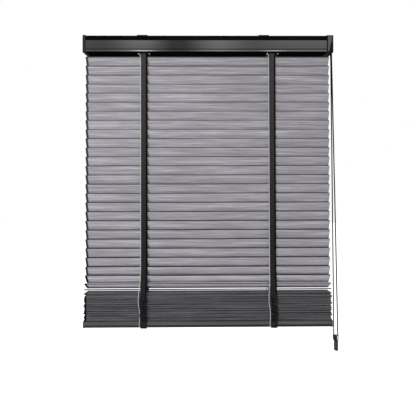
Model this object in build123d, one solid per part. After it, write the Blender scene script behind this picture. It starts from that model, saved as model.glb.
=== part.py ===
from build123d import *
import math
import os

# Wooden venetian blind, partly raised: a steel headrail with its control unit,
# thin wooden slats on two woven ladder tapes, a stack of slats on the bottom rail.
# Frame: +X to the right seen from the room, -Y towards the room, +Z up.
# The origin lies midway between the two bracket screws, on the face they fix to.
# All lengths are millimetres and all angles degrees.

# Headrail
RAIL_LENGTH = 548.0
RAIL_DEPTH = 32.0
RAIL_HEIGHT = 37.5
RAIL_WALL = 1.0
RAIL_CORNER = 2.6
LIP_STRIP = 10.4
LIP_RECESS = 1.2
LIP_WIDTH = 6.5
LIP_HEM = 2.6
BEAD_FROM_BOTTOM = 6.2
BEAD_SIZE = 0.8
RAIL_MID_X = 12.0

# Mounting brackets that hook over the rail's top lips
BRACKET_SPACING = 276.5
BRACKET_WIDTH = 24.0
BRACKET_PLATE = 1.5
BRACKET_RISE = 1.8
BRACKET_SCREW = 4.5
BRACKET_TONGUE = 12.0
BRACKET_CLEARANCE = 0.3

# End caps
CAP_ABOVE = 1.0
CAP_BELOW = 1.0
CAP_PROUD = 0.8
LEFT_CAP = 6.2
CAP_ROUND = 1.2
PLUG_LENGTH = 9.0
PLUG_WALL = 1.4
PLUG_CLEARANCE = 0.15

# Control unit on the right end of the rail
UNIT_WIDTH = 14.6
UNIT_WALL = 1.2
UNIT_INNER_PLATE = 1.8
MOUTH_TOP = 19.4
MOUTH_TOP_WIDTH = 1.6
MOUTH_FOOT_WIDTH = 6.0
MOUTH_DEPTH = 0.7
MOUTH_SHIFT = 1.6
CORD_OUTLET_WIDTH = 5.0
CORD_OUTLET_DEPTH = 14.4

# Drive shaft, gears and cord pulley; the tooth sizes are parts of the module
SHAFT_SIZE = 6.0
SHAFT_CORNER = 0.8
SHAFT_FIT = 0.05
GEAR_MODULE = 0.8
GEAR_TEETH = 14
PINION_TEETH = 8
GEAR_FACE = 3.2
TOOTH_BELOW = 1.15
TOOTH_ABOVE = 0.9
TOOTH_ROOT = 1.7
TOOTH_TIP = 0.7
GEAR_GAP = 0.4
HUB_RADIUS = 4.6
AXLE_RADIUS = 1.5
RUNNING_FIT = 0.06
PINION_NECK = 2.0
PULLEY_WIDTH = 3.6
PULLEY_CORD_RADIUS = 4.8
PULLEY_RIM = 1.6

# Ladder stations: cradle, tilt drum and lift spool
STATION_SPACING = 295.0
CRADLE_BASE = 1.5
CRADLE_WALL = 2.0
CRADLE_DEPTH = 26.0
DRUM_RADIUS = 9.2
DRUM_WIDTH = 15.2
DRUM_RIM = 0.9
DRUM_RIM_WIDTH = 0.5
DRUM_LIFT = 1.0
SPOOL_LENGTH = 14.0
SPOOL_RADIUS = 5.6
SPOOL_RIM = 7.6
SPOOL_RIM_WIDTH = 1.0
SLEEVE_RADIUS = 4.6
PART_GAP = 0.4
GROMMET_WIDTH = 27.0
GROMMET_DEPTH = 25.0
GROMMET_RISE = 1.2
GROMMET_CORNER = 4.0
WINDOW_MARGIN = 1.5
WINDOW_CORNER = 3.0
TAPE_SLOT_IN = 3.4
TAPE_SLOT_OUT = 1.4
CORD_SLOT_IN = 0.6
CORD_SLOT_OUT = 3.4
CORD_SLOT_REACH = 4.5

# Slats
SLAT_LENGTH = 562.0
SLAT_WIDTH = 25.0
SLAT_THICKNESS = 2.5
SLAT_EDGE = 0.7
SLAT_CORNER = 1.0
SLAT_SHIFT = -1.5
SLAT_PITCH = 21.0
SLATS_CLOSED = 24
CLOSED_ANGLE = 72.0
FIRST_SLAT_DROP = 18.2
SETTLING_ANGLES = (60.0, 44.0, 24.0, 9.0)
SETTLING_DROPS = (18.1, 15.4, 8.8, 6.8)
SLATS_STACKED = 11
STACK_PITCH = 5.2
STACK_SHIFT = 1.1
STACK_STAGGER = 0.5

# How far the bottom rail still has to go down, which spreads the stack out
LOWER_TRAVEL = 221.0

# Bottom rail
STACK_TOP = 552.9
BOTTOM_OVERHANG = 2.0
BOTTOM_HEIGHT = 14.7
BOTTOM_ROUND = 3.0
BOTTOM_PLUG = 3.0
BOTTOM_PLUG_GAP = 0.05

# Ladder tapes
TAPE_WIDTH = 14.2
TAPE_THICKNESS = 0.7
TAPE_GAP = 0.35
RUNG_WIDTH = 4.5
RUNG_THICKNESS = 0.5
RUNG_GAP = 0.15
TAPE_BULGE = 1.5

# Lift cords, one in front of and one behind the slats at each tape
LIFT_CORD = 1.3
LIFT_CORD_OFFSET = -8.3
LIFT_CORD_GAP = 0.3

# Operating cord with its joiner and weight
CORD_DIAMETER = 2.6
STRAND_LEAN = 12.5
STRAND_GATHER = 10.0
GATHER_DROP = 18.5
STRAND_END = 30.0
JOINER_DROP = 645.2
JOINER_HEIGHT = 9.6
JOINER_DEPTH = 6.0
JOINER_ROUND = 1.2
JOINER_WAIST = 0.9
JOINER_SPLIT_X = 291.6
JOINER_RIGHT_X = 296.3
JOINER_LEFT_X = 283.2
LEFT_STRAND_X = 284.9
RIGHT_STRAND_X = 293.8
WEIGHT_X = 290.6
WEIGHT_RADIUS = 4.65
WEIGHT_LENGTH = 22.6
WEIGHT_ROUND = 0.9
WEIGHT_STEM_RADIUS = 1.8
WEIGHT_STEM_LENGTH = 1.2
JOINER_PIN_RADIUS = 1.1
JOINER_PIN_LENGTH = 1.6

# Places that follow from the sizes above
RAIL_TOP = -BRACKET_RISE
RAIL_UNDER = RAIL_TOP - RAIL_HEIGHT
RAIL_FLOOR = RAIL_UNDER + RAIL_WALL
RAIL_LEFT = -RAIL_LENGTH / 2 - (UNIT_WIDTH - LEFT_CAP) / 2
RAIL_RIGHT = RAIL_LEFT + RAIL_LENGTH
UNIT_RIGHT = RAIL_RIGHT + UNIT_WIDTH
SHAFT_Z = RAIL_FLOOR + CRADLE_BASE + DRUM_LIFT + DRUM_RADIUS
CENTRE_DISTANCE = GEAR_MODULE * (GEAR_TEETH + PINION_TEETH) / 2
PULLEY_Y = -CENTRE_DISTANCE
PULLEY_RADIUS = PULLEY_CORD_RADIUS + PULLEY_RIM
PULLEY_X = UNIT_RIGHT - UNIT_WALL - PART_GAP / 2 - PULLEY_WIDTH / 2
GEAR_X = RAIL_RIGHT + UNIT_INNER_PLATE + GEAR_GAP
STATIONS = (-STATION_SPACING / 2, STATION_SPACING / 2)
FIRST_SLAT_Z = RAIL_UNDER - FIRST_SLAT_DROP
BOTTOM_Z = RAIL_UNDER - STACK_TOP - SLATS_STACKED * STACK_PITCH
SLAT_HALF = SLAT_WIDTH / 2
BOTTOM_LENGTH = SLAT_LENGTH + 2 * BOTTOM_OVERHANG
BOTTOM_DEPTH = SLAT_WIDTH


def save(name, *solids):
    """Writes one node, moved from the rail's middle to the fixing point."""
    moved = [Pos(RAIL_MID_X, 0, 0) * solid for solid in solids]
    export_step(moved[0] if len(moved) == 1 else Compound(moved), f"parts/{name}.step")


def along_x(profile, start, end):
    """Extrudes a face drawn in the YZ plane from x = start to x = end."""
    return Pos(start, 0, 0) * extrude(profile, amount=end - start, dir=(1, 0, 0))


def yz_face(points):
    """A flat polygon in the YZ plane."""
    return make_face(Polyline(*[(0, y, z) for y, z in points], close=True))


def yz_box(y_min, y_max, z_min, z_max):
    return yz_face([(y_min, z_min), (y_max, z_min), (y_max, z_max), (y_min, z_max)])


def rod(radius, start, end, y=0.0, z=SHAFT_Z):
    """A round bar along X."""
    return Pos(start, y, z) * (
        Rot(0, 90, 0) * Cylinder(radius, end - start, align=(Align.CENTER, Align.CENTER, Align.MIN))
    )


def block(x_min, x_max, y_min, y_max, z_min, z_max):
    box = Box(x_max - x_min, y_max - y_min, z_max - z_min, align=(Align.MIN, Align.MIN, Align.MIN))
    return Pos(x_min, y_min, z_min) * box


def edges_along_x(shape):
    return shape.edges().filter_by(Axis.X)


# Headrail

def rail_outline(grow=0.0):
    """The rail's outer outline, or one set in by a negative grow."""
    half = RAIL_DEPTH / 2 + grow
    top = RAIL_TOP + grow
    under = RAIL_UNDER - grow
    step = RAIL_TOP - LIP_STRIP + grow
    strip = half - LIP_RECESS
    groove = RAIL_UNDER + BEAD_FROM_BOTTOM
    corner = RAIL_CORNER + grow
    front = [
        (-strip, top),
        (-strip, step),
        (-half, step - LIP_RECESS),
        (-half, groove + BEAD_SIZE),
        (-half + BEAD_SIZE, groove),
        (-half, groove - BEAD_SIZE),
        (-half, under + corner),
    ]
    turn = math.sqrt(0.5) * corner
    bend = (-half + corner - turn, under + corner - turn)
    left_foot = (-half + corner, under)
    back = [(-y, z) for y, z in reversed(front)]
    lines = [Line((0, *a), (0, *b)) for a, b in zip(front, front[1:])]
    lines.append(ThreePointArc((0, *front[-1]), (0, *bend), (0, *left_foot)))
    lines.append(Line((0, *left_foot), (0, -left_foot[0], under)))
    lines.append(ThreePointArc((0, -left_foot[0], under), (0, -bend[0], bend[1]), (0, *back[0])))
    lines += [Line((0, *a), (0, *b)) for a, b in zip(back, back[1:])]
    lines.append(Line((0, *back[-1]), (0, *front[0])))
    return make_face(lines)


def rail_section():
    """Folded sheet: a channel with joggled sides and two inward lips with hems."""
    inside = RAIL_DEPTH / 2 - LIP_RECESS - LIP_WIDTH
    sheet = rail_outline() - rail_outline(-RAIL_WALL)
    sheet -= yz_box(-inside, inside, RAIL_TOP - RAIL_HEIGHT / 2, RAIL_TOP + RAIL_WALL)
    for side in (-1, 1):
        hem = sorted((side * inside, side * (inside + RAIL_WALL)))
        sheet += yz_box(*hem, RAIL_TOP - LIP_HEM, RAIL_TOP)
    return sheet


def station_windows():
    """Rounded windows that are punched through the rail's floor under each station."""
    window = Box(GROMMET_WIDTH - 2 * WINDOW_MARGIN, GROMMET_DEPTH - 2 * WINDOW_MARGIN, 4 * RAIL_WALL)
    window = fillet(window.edges().filter_by(Axis.Z), WINDOW_CORNER)
    return [Pos(x, 0, RAIL_FLOOR) * window for x in STATIONS]


def headrail():
    rail = along_x(rail_section(), RAIL_LEFT, RAIL_RIGHT)
    for window in station_windows():
        rail -= window
    return rail


# Mounting brackets

def mounting_bracket(x):
    """A clip of folded plate: hooks under the front lip and springs under the rear one."""
    lip_inside = RAIL_DEPTH / 2 - LIP_RECESS - LIP_WIDTH
    strip = RAIL_DEPTH / 2 - LIP_RECESS
    neck = lip_inside - BRACKET_CLEARANCE
    low = RAIL_TOP - LIP_HEM - BRACKET_CLEARANCE
    t = BRACKET_PLATE
    plate = yz_box(-strip, strip, -t, 0)
    plate += yz_box(-strip, -strip + t, RAIL_TOP, 0)
    plate += yz_box(strip - t, strip, RAIL_TOP, 0)
    body = along_x(plate, -BRACKET_WIDTH / 2, BRACKET_WIDTH / 2)
    tongues = yz_box(-neck, -neck + t, low - t, -t) + yz_box(neck - t, neck, low - t, -t)
    tongues += yz_box(-neck - 2 * t, -neck + t, low - t, low)
    tongues += yz_box(neck - t, neck + 2 * t, low - t, low)
    body += along_x(tongues, -BRACKET_TONGUE / 2, BRACKET_TONGUE / 2)
    body -= Pos(0, 0, -t / 2) * Cylinder(BRACKET_SCREW / 2, 2 * t)
    corners = body.edges().filter_by(Axis.Z).group_by(SortBy.DISTANCE)
    return Pos(x, 0, 0) * fillet(corners[-1], BRACKET_PLATE / 2)


# End caps and control unit

def cap_block(start, end):
    """The visible end block, a little taller and deeper than the rail, with soft edges."""
    half = RAIL_DEPTH / 2 + CAP_PROUD
    body = block(start, end, -half, half, RAIL_UNDER - CAP_BELOW, RAIL_TOP + CAP_ABOVE)
    return fillet(edges_along_x(body), CAP_ROUND)


def rail_plug(start, end):
    """An open frame that fits inside the rail's floor and sides, below the lips."""
    reach = PLUG_CLEARANCE + RAIL_WALL
    half = RAIL_DEPTH / 2 - reach - LIP_RECESS
    low = RAIL_UNDER + reach
    high = RAIL_TOP - LIP_HEM - PLUG_CLEARANCE
    inner = yz_box(-half + PLUG_WALL, half - PLUG_WALL, low + PLUG_WALL, high)
    frame = yz_box(-half, half, low, high) - inner
    for side in (-1, 1):
        corner = yz_box(-RAIL_CORNER, RAIL_CORNER, -RAIL_CORNER, RAIL_CORNER)
        frame -= Pos(0, side * half, low) * (Rot(45, 0, 0) * (Pos(0, 0, -RAIL_CORNER) * corner))
    return along_x(frame, start, end)


def left_end_cap():
    return cap_block(RAIL_LEFT - LEFT_CAP, RAIL_LEFT) + rail_plug(RAIL_LEFT, RAIL_LEFT + PLUG_LENGTH)


def cord_mouth():
    """The flared recess on the front face, above the place where the cord leaves."""
    top = RAIL_TOP - MOUTH_TOP
    foot = RAIL_UNDER - CAP_BELOW
    front = -RAIL_DEPTH / 2 - CAP_PROUD
    mid = (RAIL_RIGHT + UNIT_RIGHT) / 2 + MOUTH_SHIFT
    points = [
        (mid - MOUTH_TOP_WIDTH / 2, top),
        (mid + MOUTH_TOP_WIDTH / 2, top),
        (mid + MOUTH_FOOT_WIDTH / 2, foot - 1),
        (mid - MOUTH_FOOT_WIDTH / 2, foot - 1),
    ]
    outline = make_face(Polyline(*[(x, front - 1, z) for x, z in points], close=True))
    return extrude(outline, amount=MOUTH_DEPTH + 1, dir=(0, 1, 0))


def control_housing():
    """A moulded box: plug into the rail, gear chamber, pulley chamber, cord outlet below."""
    body = cap_block(RAIL_RIGHT, UNIT_RIGHT)
    half = RAIL_DEPTH / 2 + CAP_PROUD - UNIT_WALL
    floor = SHAFT_Z - PULLEY_RADIUS - 2 * PART_GAP
    ceiling = SHAFT_Z + PULLEY_RADIUS + 3 * PART_GAP
    body -= block(
        RAIL_RIGHT + UNIT_INNER_PLATE, UNIT_RIGHT - UNIT_WALL, -half, half, floor, ceiling
    )
    outlet_front = PULLEY_Y - PULLEY_CORD_RADIUS - CORD_DIAMETER / 2 - PART_GAP
    body -= block(
        PULLEY_X - CORD_OUTLET_WIDTH / 2,
        PULLEY_X + PULLEY_WIDTH / 2 + PART_GAP / 2,
        outlet_front,
        outlet_front + CORD_OUTLET_DEPTH,
        RAIL_UNDER - 2 * CAP_BELOW,
        floor + 1,
    )
    body -= cord_mouth()
    body -= rod(HUB_RADIUS + RUNNING_FIT, RAIL_RIGHT - 1, GEAR_X)
    body -= rod(AXLE_RADIUS + RUNNING_FIT, RAIL_RIGHT - 1, UNIT_RIGHT + 1, y=PULLEY_Y)
    return body + rail_plug(RAIL_RIGHT - PLUG_LENGTH, RAIL_RIGHT)


# Shaft, gears and pulley

def gear_profile(teeth):
    """A spur wheel's outline with straight-flanked teeth and room to run."""
    pitch = GEAR_MODULE * teeth / 2
    root = pitch - TOOTH_BELOW * GEAR_MODULE
    tip = pitch + TOOTH_ABOVE * GEAR_MODULE
    half_root = TOOTH_ROOT * GEAR_MODULE / 2
    half_tip = TOOTH_TIP * GEAR_MODULE / 2
    points = []
    for tooth in range(teeth):
        middle = 2 * math.pi * tooth / teeth
        for radius, half in ((root, -half_root), (tip, -half_tip), (tip, half_tip), (root, half_root)):
            angle = middle + half / radius
            points.append((radius * math.cos(angle), radius * math.sin(angle)))
    return points


def wheel(teeth, start, end, y, turn):
    profile = yz_face(gear_profile(teeth))
    return Pos(0, y, SHAFT_Z) * (Rot(turn, 0, 0) * along_x(profile, start, end))


def square_bar(size, start, end):
    half = size / 2
    return Pos(0, 0, SHAFT_Z) * along_x(yz_box(-half, half, -half, half), start, end)


def drive_shaft():
    start = STATIONS[0] - DRUM_WIDTH / 2 - SPOOL_LENGTH - 2 * CRADLE_WALL - 6 * PART_GAP
    bar = square_bar(SHAFT_SIZE, start, GEAR_X + GEAR_FACE)
    return chamfer(edges_along_x(bar), SHAFT_CORNER)


def shaft_gear():
    """The driven wheel; its hub runs in the unit's inner plate."""
    gear = wheel(GEAR_TEETH, GEAR_X, GEAR_X + GEAR_FACE, 0.0, 0.0)
    gear += rod(HUB_RADIUS, RAIL_RIGHT - CRADLE_WALL, GEAR_X)
    return gear - square_bar(SHAFT_SIZE + 2 * SHAFT_FIT, RAIL_RIGHT - 3 * CRADLE_WALL, UNIT_RIGHT)


def cord_pulley():
    """Grooved pulley, pinion and stub axles, turned as one piece."""
    left = PULLEY_X - PULLEY_WIDTH / 2
    right = PULLEY_X + PULLEY_WIDTH / 2
    body = rod(PULLEY_RADIUS, left, right, y=PULLEY_Y)
    ring = Rot(0, 90, 0) * Torus(PULLEY_CORD_RADIUS, CORD_DIAMETER / 2 + PART_GAP / 2)
    body -= Pos(PULLEY_X, PULLEY_Y, SHAFT_Z) * ring
    half = CORD_DIAMETER / 2
    throat = rod(PULLEY_RADIUS + 1, PULLEY_X - half, PULLEY_X + half, y=PULLEY_Y)
    body -= throat - rod(PULLEY_CORD_RADIUS, left, right, y=PULLEY_Y)
    body += rod(PINION_NECK, GEAR_X, left, y=PULLEY_Y)
    half_tooth = 180 / PINION_TEETH
    body += wheel(PINION_TEETH, GEAR_X, GEAR_X + GEAR_FACE, PULLEY_Y, half_tooth)
    axle_start = RAIL_RIGHT + PART_GAP / 2
    axle_end = UNIT_RIGHT - PART_GAP / 2
    return body + rod(AXLE_RADIUS, axle_start, axle_end, y=PULLEY_Y)


# Ladder stations

def spool_start(x):
    return x - DRUM_WIDTH / 2 - PART_GAP - SPOOL_LENGTH


def floor_slot(x_min, x_max, y_min, y_max):
    """A slot right through a cradle's floor and grommet."""
    low = RAIL_UNDER - 2 * GROMMET_RISE
    return block(x_min, x_max, y_min, y_max, low, RAIL_FLOOR + 2 * CRADLE_BASE)


def ladder_cradle(x):
    """The support clipped through the rail's floor: base, two bearing walls, grommet."""
    left = spool_start(x) - PART_GAP - CRADLE_WALL
    right = x + DRUM_WIDTH / 2 + PART_GAP + CRADLE_WALL
    half = CRADLE_DEPTH / 2
    window_x = GROMMET_WIDTH / 2 - WINDOW_MARGIN - PLUG_CLEARANCE
    window_y = GROMMET_DEPTH / 2 - WINDOW_MARGIN - PLUG_CLEARANCE
    top = SHAFT_Z + HUB_RADIUS + CRADLE_WALL
    body = block(left, right, -half, half, RAIL_FLOOR, RAIL_FLOOR + CRADLE_BASE)
    body += block(left, left + CRADLE_WALL, -half, half, RAIL_FLOOR, top)
    body += block(right - CRADLE_WALL, right, -half, half, RAIL_FLOOR, top)
    neck = block(x - window_x, x + window_x, -window_y, window_y, RAIL_UNDER - GROMMET_RISE, RAIL_FLOOR)
    body += fillet(neck.edges().filter_by(Axis.Z), WINDOW_CORNER - PLUG_CLEARANCE)
    plate = block(
        x - GROMMET_WIDTH / 2,
        x + GROMMET_WIDTH / 2,
        -GROMMET_DEPTH / 2,
        GROMMET_DEPTH / 2,
        RAIL_UNDER - GROMMET_RISE,
        RAIL_UNDER,
    )
    plate = fillet(plate.edges().filter_by(Axis.Z), GROMMET_CORNER)
    body += fillet(plate.faces().sort_by(Axis.Z)[0].edges(), GROMMET_RISE / 2)
    line = x + LIFT_CORD_OFFSET
    for side in (-1, 1):
        tape_slot = sorted((side * (DRUM_RADIUS - TAPE_SLOT_IN), side * (DRUM_RADIUS + TAPE_SLOT_OUT)))
        cord_slot = sorted((side * (SPOOL_RADIUS - CORD_SLOT_IN), side * (SPOOL_RADIUS + CORD_SLOT_OUT)))
        body -= floor_slot(line - LIFT_CORD, x + TAPE_WIDTH / 2 + PART_GAP, *tape_slot)
        body -= floor_slot(line - CORD_SLOT_REACH, line, *cord_slot)
    return body - rod(SLEEVE_RADIUS + RUNNING_FIT, left - 1, right + 1)


def lift_spool(x):
    """A flanged spool with a long sleeve; the sleeve carries the drum and runs in the cradle."""
    start = spool_start(x)
    end = start + SPOOL_LENGTH
    left = start - PART_GAP - CRADLE_WALL
    right = x + DRUM_WIDTH / 2 + PART_GAP + CRADLE_WALL
    body = rod(SLEEVE_RADIUS, left, right)
    body += rod(SPOOL_RADIUS, start, end)
    body += rod(SPOOL_RIM, start, start + SPOOL_RIM_WIDTH)
    body += rod(SPOOL_RIM, end - SPOOL_RIM_WIDTH, end)
    return body - square_bar(SHAFT_SIZE + 2 * SHAFT_FIT, left - 1, right + 1)


def tilt_drum(x):
    """The drum that the ladder tape hangs from, with a rim at each side."""
    half = DRUM_WIDTH / 2
    body = rod(DRUM_RADIUS - DRUM_RIM, x - half, x + half)
    body += rod(DRUM_RADIUS, x - half, x - half + DRUM_RIM_WIDTH)
    body += rod(DRUM_RADIUS, x + half - DRUM_RIM_WIDTH, x + half)
    return body - rod(SLEEVE_RADIUS + RUNNING_FIT, x - half - 1, x + half + 1)


# Slats

def slat(z, angle, shift_x=0.0, shift_y=0.0):
    """One wooden slat with eased edges; a positive angle lifts its room-side edge."""
    body = Box(SLAT_LENGTH, SLAT_WIDTH, SLAT_THICKNESS)
    body = chamfer(body.edges().filter_by(Axis.Z), SLAT_CORNER)
    body = fillet(edges_along_x(body), SLAT_EDGE)
    return Pos(SLAT_SHIFT + shift_x, shift_y, z) * (Rot(-angle, 0, 0) * body)


def hanging_slats():
    """Heights and angles of the slats that hang, from the top down."""
    rows = [(FIRST_SLAT_Z - SLAT_PITCH * i, CLOSED_ANGLE) for i in range(SLATS_CLOSED)]
    for angle, drop in zip(SETTLING_ANGLES, SETTLING_DROPS):
        rows.append((rows[-1][0] - drop, angle))
    return rows


def stacked_slats():
    """Heights of the slats that lie on the bottom rail, from the top down."""
    return [BOTTOM_Z + STACK_PITCH * (i + 0.5) for i in reversed(range(SLATS_STACKED))]


def stack_shift(index):
    """How far a stacked slat lies out of line, along and across."""
    return STACK_SHIFT * math.sin(2.4 * index + 0.6), STACK_STAGGER * math.sin(1.7 * index)


# Bottom rail

def bottom_section(inset=0.0):
    half = BOTTOM_DEPTH / 2 - inset
    return yz_box(-half, half, BOTTOM_Z - BOTTOM_HEIGHT + inset, BOTTOM_Z - inset)


def bottom_rail():
    """A solid wooden bar with rounded long edges and a seat for each tape below."""
    half = BOTTOM_LENGTH / 2 - BOTTOM_PLUG
    bar = along_x(bottom_section(), SLAT_SHIFT - half, SLAT_SHIFT + half)
    edges = edges_along_x(bar).group_by(Axis.Z)
    bar = fillet(edges[-1], BOTTOM_ROUND)
    return fillet(edges_along_x(bar).group_by(Axis.Z)[0], BOTTOM_ROUND)


def bottom_plug(side):
    """A cap on the end of the bottom rail, with a spigot into the bar's end."""
    half = BOTTOM_LENGTH / 2
    seat = half - BOTTOM_PLUG + BOTTOM_PLUG_GAP
    inner, outer = sorted((SLAT_SHIFT + side * seat, SLAT_SHIFT + side * half))
    cap = fillet(edges_along_x(along_x(bottom_section(), inner, outer)), BOTTOM_ROUND / 2)
    return cap


# Ladder tapes

def tape_leg(side):
    """Points of one leg of the ladder on its inner face, from the drum down to the rail."""
    closed = SLAT_HALF * math.cos(math.radians(CLOSED_ANGLE))
    closed += SLAT_THICKNESS / 2 * math.sin(math.radians(CLOSED_ANGLE)) + TAPE_GAP
    rows = hanging_slats()
    stack_top = stacked_slats()[0]
    open_y = SLAT_HALF + STACK_STAGGER + TAPE_GAP
    points = [
        (DRUM_RADIUS - DRUM_RIM + RUNG_GAP, SHAFT_Z),
        (DRUM_RADIUS - DRUM_RIM + RUNG_GAP, RAIL_UNDER - GROMMET_RISE),
        (closed, rows[0][0] + SLAT_HALF),
        (closed, rows[SLATS_CLOSED - 1][0]),
    ]
    for z, angle in rows[SLATS_CLOSED:]:
        reach = SLAT_HALF * math.cos(math.radians(angle)) + SLAT_THICKNESS + TAPE_GAP
        points.append((min(reach, open_y + TAPE_GAP), z + SLAT_THICKNESS))
    points.append((open_y + TAPE_GAP, stack_top + SLAT_THICKNESS))
    for i, z in enumerate(stacked_slats()):
        bulge = TAPE_BULGE * (0.75 + 0.25 * math.sin(1.9 * i))
        points.append((open_y + bulge, z - STACK_PITCH / 4))
        points.append((open_y, z - STACK_PITCH / 2))
    low = BOTTOM_Z - BOTTOM_HEIGHT - TAPE_GAP
    points.append((open_y, low + BOTTOM_ROUND / 2))
    points.append((open_y - BOTTOM_ROUND / 2, low))
    return [(side * y, z) for y, z in points]


def leg_face(side):
    """The leg's section: its inner line and the same line set out by the tape's thickness."""
    inner = tape_leg(side)
    outer = [(y + side * TAPE_THICKNESS, z) for y, z in inner[:-2]]
    y_low, z_low = inner[-2]
    outer.append((y_low + side * TAPE_THICKNESS, z_low - TAPE_THICKNESS / 2))
    outer.append((inner[-1][0], inner[-1][1] - TAPE_THICKNESS))
    return yz_face(inner + outer[::-1])


def under_slat(z, angle, along, depth):
    """A point beside a slat: so far along its width to the rear, so far below its middle."""
    tilt = math.radians(angle)
    y = along * math.cos(tilt) - depth * math.sin(tilt)
    return y, z - along * math.sin(tilt) - depth * math.cos(tilt)


def rung_face(z, angle, front, back):
    """A cross strip: from the front leg along the slat's underside, then level to the rear leg."""
    tilt = math.radians(angle)
    rear = SLAT_HALF + RUNG_GAP
    upper, lower = [], []
    for line, depth in (
        (upper, SLAT_THICKNESS / 2 + RUNG_GAP),
        (lower, SLAT_THICKNESS / 2 + RUNG_GAP + RUNG_THICKNESS),
    ):
        line.append(under_slat(z, angle, (depth * math.sin(tilt) - front) / math.cos(tilt), depth))
        line.append(under_slat(z, angle, rear, depth))
    level = upper[1][1]
    upper.append((back, level))
    lower = [lower[0], (lower[1][0], level - RUNG_THICKNESS), (back, level - RUNG_THICKNESS)]
    return yz_face(upper + lower[::-1])


def leg_reach(z, leg):
    """How far out the leg's inner face lies at a height."""
    for (y_a, z_a), (y_b, z_b) in zip(leg, leg[1:]):
        if z_b <= z <= z_a and z_a > z_b:
            return y_a + (y_b - y_a) * (z_a - z) / (z_a - z_b)
    return leg[-1][0]


def ladder_tape(x):
    """One woven ladder: a leg in front, a leg behind, a strap under the rail and the rungs."""
    half = TAPE_WIDTH / 2
    body = along_x(leg_face(-1), x - half, x + half) + along_x(leg_face(1), x - half, x + half)
    low = BOTTOM_Z - BOTTOM_HEIGHT - TAPE_GAP
    end = tape_leg(1)[-1][0]
    body += along_x(yz_box(-end, end, low - TAPE_THICKNESS, low), x - half, x + half)
    leg = tape_leg(1)
    rows = hanging_slats() + [(z, 0.0) for z in stacked_slats()]
    rungs = []
    for z, angle in rows:
        lean = SLAT_HALF * math.sin(math.radians(angle))
        front = leg_reach(z + lean, leg) + TAPE_THICKNESS / 2
        back = leg_reach(z - lean, leg) + TAPE_THICKNESS / 2
        face = rung_face(z, angle, front, back)
        rungs.append(along_x(face, x - RUNG_WIDTH / 2, x + RUNG_WIDTH / 2))
    return body + rungs


# Cords

def route_radii(points):
    """For each corner: 0.45 of the shorter run beside it over the tangent of half the turn."""
    radii = []
    for a, b, c in zip(points, points[1:], points[2:]):
        before = Vector(*b) - Vector(*a)
        after = Vector(*c) - Vector(*b)
        half_turn = math.radians(before.get_angle(after)) / 2
        radii.append(0.45 * min(before.length, after.length) / math.tan(half_turn))
    return radii


def tube(points, radii, diameter):
    """A round cord along straight runs that are joined by tangent arcs."""
    path = FilletPolyline(*points, radius=radii)
    start = Plane(origin=path @ 0, z_dir=path % 0)
    return sweep(start * Circle(diameter / 2), path=path)


def windings(x):
    """The turns of both lift cords that are wound on the spool, as one ring."""
    start = spool_start(x) + SPOOL_RIM_WIDTH + RUNNING_FIT
    end = spool_start(x) + SPOOL_LENGTH - SPOOL_RIM_WIDTH - RUNNING_FIT
    ring = rod(SPOOL_RADIUS + LIFT_CORD, start, end)
    return ring - rod(SPOOL_RADIUS + RUNNING_FIT, start - 1, end + 1)


def cord_start(line, side):
    """From the windings to the rail's floor; the rear cord passes below the spool."""
    if side < 0:
        out = SPOOL_RADIUS + 1.4 * LIFT_CORD
        return [(line - 3.0, -out, SHAFT_Z), (line - 2.0, -out - 0.3, RAIL_FLOOR - 1.0)]
    out = SPOOL_RADIUS + 1.5 * LIFT_CORD + RUNNING_FIT
    return [
        (line - 4.7, -out, SHAFT_Z),
        (line - 4.5, -out + 0.3, RAIL_FLOOR + 3.0),
        (line - 2.2, out - 0.6, RAIL_FLOOR + 2.5),
    ]


def lift_cord_route(x, side):
    """Points and corner radii of a lift cord, from the spool down and under the bottom rail."""
    line = x + LIFT_CORD_OFFSET
    closed = SLAT_HALF * math.cos(math.radians(CLOSED_ANGLE))
    closed += SLAT_THICKNESS / 2 * math.sin(math.radians(CLOSED_ANGLE))
    closed += LIFT_CORD_GAP + LIFT_CORD / 2
    front = SLAT_HALF + STACK_STAGGER + 2 * LIFT_CORD_GAP + LIFT_CORD / 2
    rows = hanging_slats()[SLATS_CLOSED - 1:]
    top = stacked_slats()[0]
    points = cord_start(line, side) + [
        (line - 0.4, side * (closed + 0.6), FIRST_SLAT_Z + SLAT_HALF + 1.5),
        (line, side * closed, FIRST_SLAT_Z - SLAT_PITCH),
        (line + 0.3, side * (closed + 0.4), rows[0][0] + 6.0),
        (line - 0.4, side * (front - 4.0), rows[1][0] - 3.0),
        (line - 1.6, side * (front - 0.6), rows[2][0]),
        (line - 3.4, side * (front + 0.2), top - 2.0),
        (line - 2.6, side * (front + 0.4), top - 18.0),
        (line, side * (front + 0.1), top - 32.0),
        (line + 0.2, side * front, BOTTOM_Z + 8.0),
        (line - 0.8, side * (front + 0.2), BOTTOM_Z - 3.0),
        (line - 0.6, side * (front - 0.1), BOTTOM_Z - BOTTOM_HEIGHT + 1.0),
        (line - 0.5, side * (front - 3.0), BOTTOM_Z - BOTTOM_HEIGHT - 1.2),
    ]
    return points, route_radii(points)


def lift_cord(x, side):
    """One lift cord beside the tape; the front one carries the windings on the spool."""
    cord = tube(*lift_cord_route(x, side), LIFT_CORD)
    return cord + windings(x) if side < 0 else cord


def pulley_corner(side):
    """The square corner of the route whose arc wraps a quarter of the pulley."""
    return (PULLEY_X, PULLEY_Y + side * PULLEY_CORD_RADIUS, SHAFT_Z + PULLEY_CORD_RADIUS)


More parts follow.
